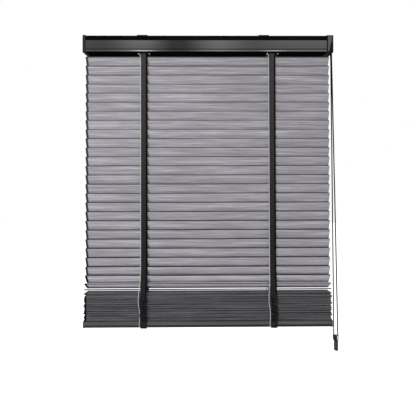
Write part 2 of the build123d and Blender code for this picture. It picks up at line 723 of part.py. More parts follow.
def strand_route(side, foot_x):
    """Points and corner radii of half of the operating cord, from the pulley's top to the joiner."""
    top = (PULLEY_X, PULLEY_Y, SHAFT_Z + PULLEY_CORD_RADIUS)
    foot = (foot_x, PULLEY_Y, RAIL_UNDER - JOINER_DROP)
    above = (foot_x, PULLEY_Y, foot[2] + STRAND_END)
    if side < 0:
        leave = (PULLEY_X, PULLEY_Y - PULLEY_CORD_RADIUS, SHAFT_Z - 2 * PULLEY_CORD_RADIUS)
        points = [top, pulley_corner(side), leave, above, foot]
        radii = route_radii(points)
    else:
        low = SHAFT_Z - PULLEY_CORD_RADIUS * math.tan(math.radians(STRAND_LEAN))
        turned = (PULLEY_X, PULLEY_Y + PULLEY_CORD_RADIUS, low)
        gathered = (PULLEY_X, -STRAND_GATHER, SHAFT_Z - GATHER_DROP)
        points = [top, pulley_corner(side), turned, gathered, above, foot]
        radii = route_radii(points)
        radii[1] = PULLEY_CORD_RADIUS
    radii[0] = PULLEY_CORD_RADIUS - PART_GAP / 4
    return points, radii


def operating_strand(side, foot_x):
    return tube(*strand_route(side, foot_x), CORD_DIAMETER)


def joiner_part(x_min, x_max):
    top = RAIL_UNDER - JOINER_DROP
    half = JOINER_DEPTH / 2
    body = block(x_min, x_max, PULLEY_Y - half, PULLEY_Y + half, top - JOINER_HEIGHT, top)
    return fillet(body.edges().filter_by(Axis.Z), JOINER_ROUND)


def joiner_pin(grow=0.0):
    middle = RAIL_UNDER - JOINER_DROP - JOINER_HEIGHT / 2
    return rod(
        JOINER_PIN_RADIUS + grow,
        JOINER_SPLIT_X - JOINER_PIN_LENGTH - 2 * grow,
        JOINER_SPLIT_X,
        y=PULLEY_Y,
        z=middle,
    )


def joiner_socket():
    """The black half that holds the left strand and carries the weight."""
    body = joiner_part(JOINER_LEFT_X, JOINER_SPLIT_X)
    waist_x = (LEFT_STRAND_X + WEIGHT_X - WEIGHT_RADIUS / 2) / 2
    middle = RAIL_UNDER - JOINER_DROP - JOINER_HEIGHT / 2
    groove = Cylinder(JOINER_WAIST, 2 * JOINER_HEIGHT)
    for side in (-1, 1):
        body -= Pos(waist_x, PULLEY_Y + side * JOINER_DEPTH / 2, middle) * groove
    return body - joiner_pin(RUNNING_FIT)


def joiner_plug():
    """The white half that holds the right strand and snaps into the black one."""
    return joiner_part(JOINER_SPLIT_X, JOINER_RIGHT_X) + joiner_pin()


def cord_weight():
    """A turned weight with a short stem under the joiner."""
    top = RAIL_UNDER - JOINER_DROP - JOINER_HEIGHT - WEIGHT_STEM_LENGTH
    body = Cylinder(WEIGHT_RADIUS, WEIGHT_LENGTH)
    body = fillet(body.edges(), WEIGHT_ROUND)
    stem = Cylinder(WEIGHT_STEM_RADIUS, WEIGHT_STEM_LENGTH)
    body += Pos(0, 0, (WEIGHT_LENGTH + WEIGHT_STEM_LENGTH) / 2) * stem
    middle_x = min(WEIGHT_X, JOINER_SPLIT_X - WEIGHT_STEM_RADIUS)
    return Pos(middle_x, PULLEY_Y, top - WEIGHT_LENGTH / 2) * body


def report_cord(name, points, radii):
    """Prints a cord's length and the radius of each bend."""
    length = FilletPolyline(*points, radius=radii).length
    bends = ", ".join(f"{radius:.1f}" for radius in radii)
    print(f"{name}: length {length:.1f} mm, bend radii {bends} mm")


def report_cords():
    report_cord("operating cord, front strand", *strand_route(-1, RIGHT_STRAND_X))
    report_cord("operating cord, back strand", *strand_route(1, LEFT_STRAND_X))
    for name, x in zip(("left", "right"), STATIONS):
        report_cord(f"{name} lift cord, front", *lift_cord_route(x, -1))
        report_cord(f"{name} lift cord, rear", *lift_cord_route(x, 1))


def main():
    os.makedirs("parts", exist_ok=True)
    save("headrail", headrail())
    save("left_end_cap", left_end_cap())
    save("control_housing", control_housing())
    middle = -RAIL_MID_X
    save("mounting_brackets", *[mounting_bracket(middle + s * BRACKET_SPACING / 2) for s in (-1, 1)])
    save("drive_shaft", drive_shaft())
    save("shaft_gear", shaft_gear())
    save("cord_pulley", cord_pulley())
    save("ladder_cradles", *[ladder_cradle(x) for x in STATIONS])
    save("lift_spools", *[lift_spool(x) for x in STATIONS])
    save("tilt_drums", *[tilt_drum(x) for x in STATIONS])
    for name, x in zip(("left", "right"), STATIONS):
        save(f"ladder_tape_{name}", ladder_tape(x))
        save(f"lift_cords_{name}", lift_cord(x, -1), lift_cord(x, 1))
    for number, (z, angle) in enumerate(hanging_slats(), start=1):
        save(f"slat_{number:02d}", slat(z, angle))
    first = SLATS_CLOSED + len(SETTLING_ANGLES) + 1
    for number, z in enumerate(stacked_slats(), start=first):
        save(f"slat_{number:02d}", slat(z, 0.0, *stack_shift(number)))
    save("bottom_rail", bottom_rail())
    save("bottom_rail_plugs", bottom_plug(-1), bottom_plug(1))
    save("operating_cord_front", operating_strand(-1, RIGHT_STRAND_X))
    save("operating_cord_back", operating_strand(1, LEFT_STRAND_X))
    save("joiner_socket", joiner_socket())
    save("joiner_plug", joiner_plug())
    save("cord_weight", cord_weight())
    report_cords()


main()
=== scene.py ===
import math

import bmesh
import bpy
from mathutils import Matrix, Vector


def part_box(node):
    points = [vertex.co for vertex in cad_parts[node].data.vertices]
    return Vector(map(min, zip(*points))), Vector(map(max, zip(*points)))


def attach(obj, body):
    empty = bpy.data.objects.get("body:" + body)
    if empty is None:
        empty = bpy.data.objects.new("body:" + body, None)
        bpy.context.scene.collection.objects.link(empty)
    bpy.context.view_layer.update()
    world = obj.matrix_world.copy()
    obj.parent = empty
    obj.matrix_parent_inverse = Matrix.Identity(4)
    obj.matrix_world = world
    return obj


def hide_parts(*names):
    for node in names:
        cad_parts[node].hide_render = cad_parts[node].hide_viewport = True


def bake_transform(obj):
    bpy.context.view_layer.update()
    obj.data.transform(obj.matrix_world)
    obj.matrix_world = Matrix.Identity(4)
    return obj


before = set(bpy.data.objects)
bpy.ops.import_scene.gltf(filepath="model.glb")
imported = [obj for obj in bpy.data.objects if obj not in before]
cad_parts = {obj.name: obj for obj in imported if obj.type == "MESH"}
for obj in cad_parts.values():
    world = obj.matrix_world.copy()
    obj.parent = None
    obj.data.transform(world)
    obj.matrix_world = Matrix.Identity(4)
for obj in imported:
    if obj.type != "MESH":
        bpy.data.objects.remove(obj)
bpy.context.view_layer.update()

# Wooden venetian blind, partly raised: looks, light and camera.
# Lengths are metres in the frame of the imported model: +X right, -Y to the room, +Z up.

# Camera, at the photograph's viewing angle
CAMERA_AT = (0.0082, -0.6569, -0.2956)
CAMERA_PITCH = 0.53
CAMERA_YAW = -0.374
CAMERA_ROLL = 0.114
CAMERA_LENS = 24.53
CAMERA_SHIFT = (-0.0017, -0.1101)

# Light
WORLD_LEVEL = 0.40
KEY_AT = (-1.1, -2.4, -0.35)
KEY_AIM = (0.0, 0.0, -0.35)
KEY_SIZE = 1.6
KEY_POWER = 46.0
FLOOR_GLOW = 1.0
FLOOR_Z = -1.25
FLOOR_SIZE = 8.0

# The headrail, and the two stations where tapes and lift cords hang
MIDDLE_X = 0.012
STATION_SPACING = 0.295
STATIONS = (("left", -1), ("right", 1))
RAIL_UNDER = -0.0393
RAIL_STRIP_FOOT = -0.0120
SHAFT_Z = -0.0266
DRUM_RADIUS = 0.0083

# Slats, counted from the top: closed, settling and stacked
SLATS = 39
SLATS_CLOSED = 24
SLATS_HANGING = 28
SLAT_HALF = 0.0125
SLAT_THICKNESS = 0.0025
SLAT_PITCH = 0.021
STACK_PITCH = 0.0052
SLAT_LEFT = -0.2705
FACE_TURN = 0.97

# Painted shade on the slats: along their left ends and, as shares of the pitch, along their long edges
# where one laps over the next
END_SHADE = 0.0050
END_SHADE_FADE = 0.0006
LAP_SHADE = 0.26
LAP_SHADE_ABOVE = 0.18
LAP_SHADE_FADING = 0.016

# Ladder tapes and the cross strips between their legs
TAPE_WIDTH = 0.0142
TAPE_THICKNESS = 0.0006
TAPE_GAP = 0.0006
TAPE_STACK_GAP = 0.0009
TAPE_DARK_STRIP = 0.0034
TAPE_COLUMNS = 10
TAPE_PRESS = 0.0002
WEAVE_PERIOD = 0.0011
WEAVE_DEPTH = 0.0003
DRUM_STEPS = 8
FOLD_DEPTH = 0.0052
FOLD_DROOP = 0.0016
FOLD_STEPS = 8
CRUMPLE_BEND = 0.0009
CRUMPLE_LIFT = 0.0010
SWAY = 0.0011
RUNG_WIDTH = 0.0045
RUNG_THICKNESS = 0.0004
RUNG_STEPS = 6
RUNG_TUCK = 0.0006

# Cords
LIFT_CORD_RADIUS = 0.00065
LIFT_CORD_OFFSET = -0.0083
SPOOL_START = -0.0206
SPOOL_WOUND = 0.0115
SPOOL_RADIUS = 0.0063
SPOOL_TURNS = 8
TURN_STEPS = 12
CORD_RADIUS = 0.0013
PULLEY_X = 0.2932
PULLEY_Y = -0.0088
PULLEY_CORD_RADIUS = 0.0048
STRAND_FEET = (0.3058, 0.2969)
STRAND_FOOT_Z = -0.6845
STRAND_END = 0.030
STRAND_BEND = 0.12
STRAND_GATHER_Y = -0.0100
STRAND_GATHER_DROP = 0.0185
STRAND_TURN = 0.00106

# Rivets in the grommets under the rail
RIVET_RADIUS = 0.0012
RIVET_OFFSET = 0.0125
RIVET_Y = -0.0085
RIVET_STEPS = 24

# The lighter panel on the front of the control unit, and the slanting recess that cuts it off
PANEL_X = (0.2843, 0.2930)
PANEL_Z = (-0.0380, -0.0025)
PANEL_EDGE = 0.0002
PANEL_LEVEL = 0.11
UNIT_LEVEL = 0.008
CUT_SLOPE = -5.0
CUT_LEVEL = -1.474
CUT_TOP = -0.0157

# Tones of the headrail's face, with its painted shade, glints and reflection bands
RAIL_LEVEL = 0.085
RAIL_FOOT_SHADE = 0.004
GLINT_HEIGHT = 0.0036
GLINT_REACH = 0.034
BAND_PERIOD = 0.191
BAND_PHASE = 4.95
BAND_TILT = 0.8
FADE_PERIOD = 0.59
FADE_PHASE = 0.6

# Tones of the wood, the bottom rail's foot with its painted shade, and the cords
WOOD_TINT = (1.0, 0.957, 1.05)
BARE_WOOD = (0.8, 0.72, 0.62)
BOTTOM_RAIL_FOOT = 0.0078
LIFT_CORD_TINT = (1.0, 0.98, 1.02)


# Camera, floor and light

def add_camera():
    data = bpy.data.cameras.new("camera")
    data.sensor_fit = "HORIZONTAL"
    data.lens = CAMERA_LENS
    data.shift_x, data.shift_y = CAMERA_SHIFT
    data.clip_start = 0.01
    camera = bpy.data.objects.new("camera", data)
    camera.location = CAMERA_AT
    camera.rotation_euler = (
        math.radians(90 + CAMERA_PITCH),
        math.radians(CAMERA_ROLL),
        math.radians(CAMERA_YAW),
    )
    bpy.context.collection.objects.link(camera)
    bpy.context.scene.camera = camera


def seen_directly(tree):
    """1 for camera, glossy and transmission rays, 0 for the rays that light the object."""
    path = tree.nodes.new("ShaderNodeLightPath")
    first = tree.nodes.new("ShaderNodeMath")
    first.operation = "MAXIMUM"
    second = tree.nodes.new("ShaderNodeMath")
    second.operation = "MAXIMUM"
    tree.links.new(path.outputs["Is Camera Ray"], first.inputs[0])
    tree.links.new(path.outputs["Is Glossy Ray"], first.inputs[1])
    tree.links.new(first.outputs[0], second.inputs[0])
    tree.links.new(path.outputs["Is Transmission Ray"], second.inputs[1])
    return second.outputs[0]


def add_world():
    bpy.context.scene.view_settings.view_transform = "Standard"
    world = bpy.data.worlds.new("world")
    world.use_nodes = True
    tree = world.node_tree
    background = tree.nodes["Background"]
    background.inputs["Color"].default_value = (1, 1, 1, 1)
    level = tree.nodes.new("ShaderNodeMapRange")
    level.inputs["To Min"].default_value = WORLD_LEVEL
    level.inputs["To Max"].default_value = 1.0
    tree.links.new(seen_directly(tree), level.inputs["Value"])
    tree.links.new(level.outputs["Result"], background.inputs["Strength"])
    bpy.context.scene.world = world


def add_area_light(name, at, size, power):
    data = bpy.data.lights.new(name, "AREA")
    data.shape = "SQUARE"
    data.size = size
    data.energy = power
    light = bpy.data.objects.new(name, data)
    light.location = at
    light.rotation_euler = (Vector(KEY_AIM) - Vector(at)).to_track_quat("-Z", "Y").to_euler()
    bpy.context.collection.objects.link(light)


def add_floor():
    """A pale floor far below the object, which glows white where the camera sees it."""
    mesh = bpy.data.meshes.new("floor")
    floor = bpy.data.objects.new("floor", mesh)
    shape = bmesh.new()
    bmesh.ops.create_grid(shape, x_segments=2, y_segments=2, size=FLOOR_SIZE / 2)
    shape.to_mesh(mesh)
    shape.free()
    floor.location = (0, 0, FLOOR_Z)
    bpy.context.collection.objects.link(floor)
    material = bpy.data.materials.new("floor")
    material.use_nodes = True
    tree = material.node_tree
    shader = tree.nodes["Principled BSDF"]
    shader.inputs["Base Color"].default_value = (0.8, 0.8, 0.8, 1)
    shader.inputs["Roughness"].default_value = 0.9
    shader.inputs["Specular IOR Level"].default_value = 0.0
    shader.inputs["Emission Color"].default_value = (1, 1, 1, 1)
    glow = tree.nodes.new("ShaderNodeMath")
    glow.operation = "MULTIPLY"
    glow.inputs[1].default_value = FLOOR_GLOW
    tree.links.new(seen_directly(tree), glow.inputs[0])
    tree.links.new(glow.outputs[0], shader.inputs["Emission Strength"])
    mesh.materials.append(material)


# Materials

def shader_of(material):
    return material.node_tree.nodes["Principled BSDF"]


def new_material(name, color, roughness, metallic=0.0, specular=0.5):
    material = bpy.data.materials.new(name)
    material.use_nodes = True
    shader = shader_of(material)
    shader.inputs["Base Color"].default_value = (*color, 1)
    shader.inputs["Roughness"].default_value = roughness
    shader.inputs["Metallic"].default_value = metallic
    shader.inputs["Specular IOR Level"].default_value = specular
    return material


def noise(material, scale, detail=3.0):
    """Noise in the object's own coordinates, stretched by a different scale on each axis."""
    tree = material.node_tree
    where = tree.nodes.new("ShaderNodeTexCoord")
    stretch = tree.nodes.new("ShaderNodeMapping")
    stretch.inputs["Scale"].default_value = scale
    cloud = tree.nodes.new("ShaderNodeTexNoise")
    cloud.inputs["Scale"].default_value = 1.0
    cloud.inputs["Detail"].default_value = detail
    tree.links.new(where.outputs["Object"], stretch.inputs["Vector"])
    tree.links.new(stretch.outputs["Vector"], cloud.inputs["Vector"])
    return cloud.outputs["Fac"]


def ramp(material, value, stops):
    tree = material.node_tree
    node = tree.nodes.new("ShaderNodeValToRGB")
    elements = node.color_ramp.elements
    while len(elements) < len(stops):
        elements.new(0.5)
    for element, (position, color) in zip(elements, stops):
        element.position = position
        element.color = (*color, 1)
    tree.links.new(value, node.inputs["Fac"])
    return node.outputs["Color"]


def multiply(material, a, b):
    node = material.node_tree.nodes.new("ShaderNodeMix")
    node.data_type = "RGBA"
    node.blend_type = "MULTIPLY"
    node.inputs["Factor"].default_value = 1.0
    material.node_tree.links.new(a, node.inputs["A"])
    material.node_tree.links.new(b, node.inputs["B"])
    return node.outputs["Result"]


def color_from(material, color):
    material.node_tree.links.new(color, shader_of(material).inputs["Base Color"])


def roughness_from(material, value, low, high):
    tree = material.node_tree
    node = tree.nodes.new("ShaderNodeMapRange")
    node.inputs["To Min"].default_value = low
    node.inputs["To Max"].default_value = high
    tree.links.new(value, node.inputs["Value"])
    tree.links.new(node.outputs["Result"], shader_of(material).inputs["Roughness"])


def bump(material, height, distance, strength=1.0):
    tree = material.node_tree
    node = tree.nodes.new("ShaderNodeBump")
    node.inputs["Distance"].default_value = distance
    node.inputs["Strength"].default_value = strength
    tree.links.new(height, node.inputs["Height"])
    tree.links.new(node.outputs["Normal"], shader_of(material).inputs["Normal"])


def gray(value, tint=(1.0, 1.0, 1.0)):
    return tuple(value * t for t in tint)


def place(material, output="Object"):
    """The three parts of a place on the piece."""
    tree = material.node_tree
    where = tree.nodes.new("ShaderNodeTexCoord")
    parts = tree.nodes.new("ShaderNodeSeparateXYZ")
    tree.links.new(where.outputs[output], parts.inputs["Vector"])
    return parts.outputs


def math_node(material, operation, *values):
    node = material.node_tree.nodes.new("ShaderNodeMath")
    node.operation = operation
    for value, entry in zip(values, node.inputs):
        if isinstance(value, (int, float)):
            entry.default_value = value
        else:
            material.node_tree.links.new(value, entry)
    return node.outputs[0]


def rising(material, value, low, high):
    """0 below low, 1 above high, and even between."""
    node = material.node_tree.nodes.new("ShaderNodeMapRange")
    node.inputs["From Min"].default_value = low
    node.inputs["From Max"].default_value = high
    material.node_tree.links.new(value, node.inputs["Value"])
    return node.outputs["Result"]


def within(material, value, low, high, soft):
    """1 between low and high, 0 outside, with soft borders."""
    above = rising(material, value, low - soft, low + soft)
    past = rising(material, value, high - soft, high + soft)
    return math_node(material, "MULTIPLY", above, math_node(material, "SUBTRACT", 1.0, past))


def end_shade(material):
    """White, but dark on the last millimetres at the left end: painted shade."""
    shade_start = SLAT_LEFT + END_SHADE
    edge = rising(material, place(material)["X"], shade_start, shade_start + END_SHADE_FADE)
    return ramp(material, edge, [(0.0, gray(0.02)), (1.0, gray(1.0))])


def lap_shade(material):
    """White, but painted shade where one closed slat laps over the next, less so further down the blind.
    """
    where = place(material)
    rows_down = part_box("slat_01")[1].z / SLAT_PITCH + LAP_SHADE_ABOVE
    down = math_node(material, "MULTIPLY_ADD", where["Z"], -1 / SLAT_PITCH, rows_down)
    rear = math_node(material, "GREATER_THAN", where["Y"], 0.0)
    fading = math_node(material, "MULTIPLY_ADD", down, LAP_SHADE_FADING, rear)
    value = math_node(material, "ADD", math_node(material, "FRACT", down), fading)
    stops = [(0.0, gray(0.08)), (LAP_SHADE, gray(0.2)), (1.5 * LAP_SHADE, gray(1.0))]
    return ramp(material, value, stops)


def slat_wood(name, closed):
    """Stained wood: long soft streaks, fine grain lines and slow changes of tone, with painted shade at
    the left end; closed slats also get painted shade where they lap, and the others are painted lighter,
    as painted light.
    """
    material = new_material(name, gray(0.35), 0.55, specular=0.3 if closed else 0.0)
    streaks = noise(material, (9, 260, 260), 4.0)
    grain = noise(material, (30, 1300, 1300), 2.0)
    broad = noise(material, (1.5, 40, 40), 1.0)
    tones = ((0.30, 0.265), (0.52, 0.345), (0.70, 0.48))
    color = ramp(material, streaks, [(stop, gray(level, WOOD_TINT)) for stop, level in tones])
    color = multiply(material, color, ramp(material, grain, [(0.3, gray(0.76)), (0.65, gray(1.10))]))
    color = multiply(material, color, ramp(material, broad, [(0.3, gray(0.93)), (0.7, gray(1.06))]))
    color = multiply(material, color, end_shade(material))
    # Closed slats: painted shade in the laps. The others: painted light, the same wood made lighter.
    if closed:
        shade = lap_shade(material)
    else:
        shade = ramp(material, grain, [(0.0, gray(1.3)), (1.0, gray(1.5))])
    color_from(material, multiply(material, color, shade))
    roughness_from(material, grain, 0.5, 0.66)
    bump(material, streaks, 0.0004, 0.5)
    return material


def slat_edge(name, low, high):
    """The darker stained edge of a slat, with painted shade at its left end."""
    material = new_material(name, gray(low), 0.9, specular=0.0)
    streaks = noise(material, (6, 420, 420), 3.0)
    color = ramp(material, streaks, [(0.38, gray(low)), (0.62, gray(high))])
    color_from(material, multiply(material, color, end_shade(material)))
    bump(material, streaks, 0.0003, 0.5)
    return material


def rail_wood():
    """Charcoal wood with a dark band of painted shade along its foot and bare brownish wood below that."""
    material = new_material("rail_wood_charcoal", gray(0.06), 0.6, specular=0.2)
    streaks = noise(material, (6, 380, 380), 4.0)
    color = ramp(material, streaks, [(0.35, gray(0.045)), (0.65, gray(0.10))])
    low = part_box("bottom_rail")[0].z
    up = rising(material, place(material)["Z"], low, low + BOTTOM_RAIL_FOOT)
    # Painted shade: near black just above the bare wood, lightening upwards over the foot.
    stops = [(0.0, BARE_WOOD), (0.22, BARE_WOOD), (0.28, gray(0.06)), (0.75, gray(0.12)), (1.0, gray(1.0))]
    color_from(material, multiply(material, color, ramp(material, up, stops)))
    bump(material, streaks, 0.0003, 0.4)
    return material


def painted_reflection_bands(material):
    """Painted reflections: soft light and dark bands along the rail, strongest left of its middle, with
    painted light rising to the right.
    """
    x = place(material)["X"]
    turn = math_node(material, "MULTIPLY_ADD", x, 2 * math.pi / BAND_PERIOD, BAND_PHASE)
    wide = math_node(material, "MULTIPLY_ADD", x, 2 * math.pi / FADE_PERIOD, FADE_PHASE)
    band = math_node(material, "COSINE", turn)
    fade = math_node(material, "MULTIPLY_ADD", math_node(material, "COSINE", wide), 0.5, 0.5)
    value = math_node(material, "MULTIPLY", band, fade)
    value = math_node(material, "MULTIPLY_ADD", value, 0.5, 0.5)
    value = math_node(material, "MULTIPLY_ADD", x, BAND_TILT, value)
    return ramp(material, value, [(0.0, gray(0.22)), (0.5, gray(0.85)), (1.0, gray(1.55))])


def painted_foot_glints(material):
    """White, but brighter in a thin line of painted glints along the foot of the rail's face beside each
    tape.
    """
    where = place(material)
    rise = math_node(material, "SUBTRACT", where["Z"], RAIL_UNDER)
    thin = math_node(material, "LESS_THAN", rise, GLINT_HEIGHT)
    away = where["X"]
    for middle in (MIDDLE_X, STATION_SPACING / 2):
        away = math_node(material, "ABSOLUTE", math_node(material, "SUBTRACT", away, middle))
    near = math_node(material, "SUBTRACT", 1.0, rising(material, away, 0.0, GLINT_REACH))
    near = math_node(material, "MULTIPLY_ADD", near, 2.0, 0.5)
    sparks = noise(material, (400, 400, 900), 1.0)
    glint = math_node(material, "MULTIPLY", math_node(material, "MULTIPLY", near, sparks), thin)
    return ramp(material, glint, [(0.0, gray(1.0)), (1.0, gray(6.0))])


def headrail_paint():
    """Satin black paint whose face carries painted reflections in soft bands and fine streaks, painted
    glints along its foot, and painted shade darkening it towards the foot.
    """
    material = new_material("rail_paint_satin", gray(0.05), 0.5, specular=0.15)
    streaks = noise(material, (5, 900, 900), 3.0)
    color = ramp(material, streaks, [(0.3, gray(RAIL_LEVEL * 0.85)), (0.7, gray(RAIL_LEVEL * 1.15))])
    # Painted shade: the face darkens towards its foot.
    rise = rising(material, place(material)["Z"], RAIL_UNDER + RAIL_FOOT_SHADE, RAIL_STRIP_FOOT)
    height = ramp(material, rise, [(0.0, gray(0.8)), (1.0, gray(1.2))])
    color = multiply(material, multiply(material, color, height), painted_reflection_bands(material))
    color_from(material, multiply(material, color, painted_foot_glints(material)))
    bump(material, streaks, 0.0001, 0.25)
    return material


def unit_plastic():
    """Black plastic with a lighter panel on its front, cut off by a slanting recess."""
    material = plastic("unit_plastic", UNIT_LEVEL, 0.7, specular=0.04)
    where = place(material)
    facing = rising(material, place(material, "Normal")["Y"], -0.7, -0.6)
    inside = math_node(material, "SUBTRACT", 1.0, facing)
    for axis, (low, high) in (("X", PANEL_X), ("Z", PANEL_Z)):
        span = within(material, where[axis], low, high, PANEL_EDGE)
        inside = math_node(material, "MULTIPLY", inside, span)
    slant = math_node(material, "MULTIPLY_ADD", where["X"], CUT_SLOPE, where["Z"])
    beside = rising(material, slant, CUT_LEVEL - 5 * PANEL_EDGE, CUT_LEVEL + 5 * PANEL_EDGE)
    above = rising(material, where["Z"], CUT_TOP - 2 * PANEL_EDGE, CUT_TOP + 2 * PANEL_EDGE)
    inside = math_node(material, "MULTIPLY", inside, math_node(material, "MAXIMUM", beside, above))
    cloud = noise(material, (60, 60, 60), 2.0)
    tone = math_node(material, "MULTIPLY_ADD", cloud, 0.5, 0.75)
    level = math_node(material, "MULTIPLY", inside, tone)
    color_from(material, ramp(material, level, [(0.0, gray(UNIT_LEVEL)), (1.0, gray(PANEL_LEVEL))]))
    return material


def rail_paint(name, level, roughness, specular):
    """Sprayed paint on folded sheet, with a faint texture and slow changes of tone."""
    material = new_material(name, gray(level), roughness, specular=specular)
    slow = noise(material, (7, 12, 12), 2.0)
    fine = noise(material, (900, 900, 900), 2.0)
    color_from(material, ramp(material, slow, [(0.3, gray(level * 0.7)), (0.7, gray(level * 1.35))]))
    roughness_from(material, slow, roughness - 0.05, roughness + 0.08)
    bump(material, fine, 0.0001, 0.25)
    return material


def plastic(name, level, roughness, tint=(1.0, 1.0, 1.03), specular=0.5):
    """Moulded plastic with a very fine grain."""
    material = new_material(name, gray(level, tint), roughness, specular=specular)
    grain = noise(material, (1500, 1500, 1500), 2.0)
    cloud = noise(material, (60, 60, 60), 2.0)
    stops = [(0.3, gray(level * 0.85, tint)), (0.7, gray(level * 1.1, tint))]
    color_from(material, ramp(material, cloud, stops))
    bump(material, grain, 0.00008, 0.3)
    return material


def steel():
    material = new_material("drawn_steel", gray(0.55), 0.35, metallic=1.0)
    lines = noise(material, (4, 2500, 2500), 2.0)
    roughness_from(material, lines, 0.25, 0.45)
    bump(material, lines, 0.00005, 0.3)
    return material


def rivet_metal():
    material = new_material("nickel_rivet", gray(0.8), 0.22, metallic=1.0)
    cloud = noise(material, (700, 700, 700), 2.0)
    roughness_from(material, cloud, 0.15, 0.3)
    return material


def weave(material):
    """Ribs across the tape and threads along it, from the piece's UV in metres."""
    where = place(material, "UV")
    waves = []
    for axis, size in (("X", WEAVE_PERIOD * 0.8), ("Y", WEAVE_PERIOD)):
        turn = math_node(material, "MULTIPLY", where[axis], 2 * math.pi / size)
        waves.append(math_node(material, "SINE", turn))
    cross = math_node(material, "MULTIPLY_ADD", *waves, 0.5)
    bump(material, cross, WEAVE_DEPTH, 0.8)
    return cross, where


def tape_cloth():
    """Black woven tape, darker further down, with a near-black strip on its right-hand side."""
    material = new_material("ladder_tape_weave", gray(0.03), 0.9, specular=0.04)
    cross, where = weave(material)
    threads = ramp(material, cross, [(0.1, (0.036, 0.036, 0.034)), (0.9, (0.090, 0.090, 0.084))])
    foot = TAPE_WIDTH - TAPE_DARK_STRIP
    edge = rising(material, where["X"], foot - WEAVE_DEPTH, foot + WEAVE_DEPTH)
    right_strip = ramp(material, edge, [(0.0, gray(1.0)), (1.0, gray(0.08))])
    down = rising(material, where["Y"], 0.03, 0.45)
    dimmer = ramp(material, down, [(0.0, gray(1.0)), (1.0, gray(0.4))])
    color_from(material, multiply(material, multiply(material, threads, right_strip), dimmer))
    return material


def crumpled_cloth():
    """The same tape where it lies folded in the stack: near black, with painted highlights on the creases.
    """
    material = new_material("ladder_tape_folds", gray(0.01), 0.8, specular=0.1)
    weave(material)
    creases = noise(material, (420, 420, 330), 2.0)
    stops = [(0.45, gray(0.005)), (0.60, gray(0.02)), (0.70, gray(0.10))]
    color_from(material, ramp(material, creases, stops))
    return material


def braid(name, low, high):
    """Braided cord: small flecks of lighter and darker thread."""
    material = new_material(name, low, 0.85, specular=0.08)
    threads = noise(material, (2200, 2200, 900), 1.0)
    color_from(material, ramp(material, threads, [(0.35, low), (0.65, high)]))
    bump(material, threads, 0.0003, 0.6)
    return material


# Meshes

def add_object(name, mesh, material):
    obj = bpy.data.objects.new(name, mesh)
    mesh.materials.append(material)
    bpy.context.collection.objects.link(obj)
    return obj


def shade_smooth(mesh):
    mesh.polygons.foreach_set("use_smooth", [True] * len(mesh.polygons))


def ribbon(name, rows, width, material, wave):
    """A strip of cloth along rows of (x, y, z, outward) centre points, as a grid with UVs in metres."""
    columns = TAPE_COLUMNS
    mesh = bpy.data.meshes.new(name)
    points = []
    for index, (x, y, z, out) in enumerate(rows):
        for column in range(columns + 1):
            u = column / columns - 0.5
            dy, dz = wave(index, u)
            points.append((x + u * width, y + out * dy, z + dz))
    faces = []
    for index in range(len(rows) - 1):
        for column in range(columns):
            a = index * (columns + 1) + column
            faces.append((a, a + 1, a + columns + 2, a + columns + 1))
    mesh.from_pydata(points, [], faces)
    along = [0.0]
    for a, b in zip(rows, rows[1:]):
        along.append(along[-1] + math.dist(a[:3], b[:3]))
    layer = mesh.uv_layers.new(name="UVMap")
    layer.active_render = True
    for loop in mesh.loops:
        index, column = divmod(loop.vertex_index, columns + 1)
        layer.data[loop.index].uv = (column / columns * width, along[index])
    shade_smooth(mesh)
    return add_object(name, mesh, material), along[-1]


def solidify(obj, thickness):
    modifier = obj.modifiers.new("thickness", "SOLIDIFY")
    modifier.thickness = thickness
    modifier.offset = 0.0


def curve_object(name, points, radius, material, resolution):
    """A round cord on one smooth curve through a route's points."""
    curve = bpy.data.curves.new(name, "CURVE")
    curve.dimensions = "3D"
    curve.bevel_depth = radius
    curve.bevel_resolution = 3
    curve.use_fill_caps = True
    curve.resolution_u = resolution
    spline = curve.splines.new("NURBS")
    spline.points.add(len(points) - 1)
    for point, co in zip(spline.points, points):
        point.co = (*co, 1.0)
    spline.order_u = 3
    spline.use_endpoint_u = True
    obj = bpy.data.objects.new(name, curve)
    curve.materials.append(material)
    bpy.context.collection.objects.link(obj)
    return obj


def as_mesh(obj, material):
    """The same cord as a plain mesh."""
    name = obj.name
    graph = bpy.context.evaluated_depsgraph_get()
    mesh = bpy.data.meshes.new_from_object(obj.evaluated_get(graph))
    bpy.data.objects.remove(obj)
    mesh.name = name
    mesh.materials.clear()
    shade_smooth(mesh)
    return add_object(name, mesh, material)


def lathe(name, profile, at, material, steps):
    """A turned piece about a vertical axis, from (radius, height) points."""
    mesh = bpy.data.meshes.new(name)
    points = []
    for radius, height in profile:
        for step in range(steps):
            angle = 2 * math.pi * step / steps
            x = at[0] + radius * math.cos(angle)
            y = at[1] + radius * math.sin(angle)
            points.append((x, y, at[2] + height))
    faces = []
    for ring in range(0, (len(profile) - 1) * steps, steps):
        for step in range(steps):
            after = (step + 1) % steps
            faces.append((ring + step, ring + after, ring + steps + after, ring + steps + step))
    faces.append(tuple(reversed(range(steps))))
    faces.append(tuple(range((len(profile) - 1) * steps, len(profile) * steps)))
    mesh.from_pydata(points, [], faces)
    mesh.update()
    shape = bmesh.new()
    shape.from_mesh(mesh)
    bmesh.ops.recalc_face_normals(shape, faces=shape.faces)
    shape.to_mesh(mesh)
    shape.free()
    shade_smooth(mesh)
    return add_object(name, mesh, material)


# Slats, rails and plastics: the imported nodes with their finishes

def station_x(side):
    return MIDDLE_X + side * STATION_SPACING / 2


def largest_face(mesh):
    """Which way the largest flat face of a mesh looks."""
    return max(mesh.polygons, key=lambda polygon: polygon.area).normal.copy()


def node_materials(node, *materials):
    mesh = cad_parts[node].data
    mesh.materials.clear()
    for material in materials:
        mesh.materials.append(material)
    return mesh


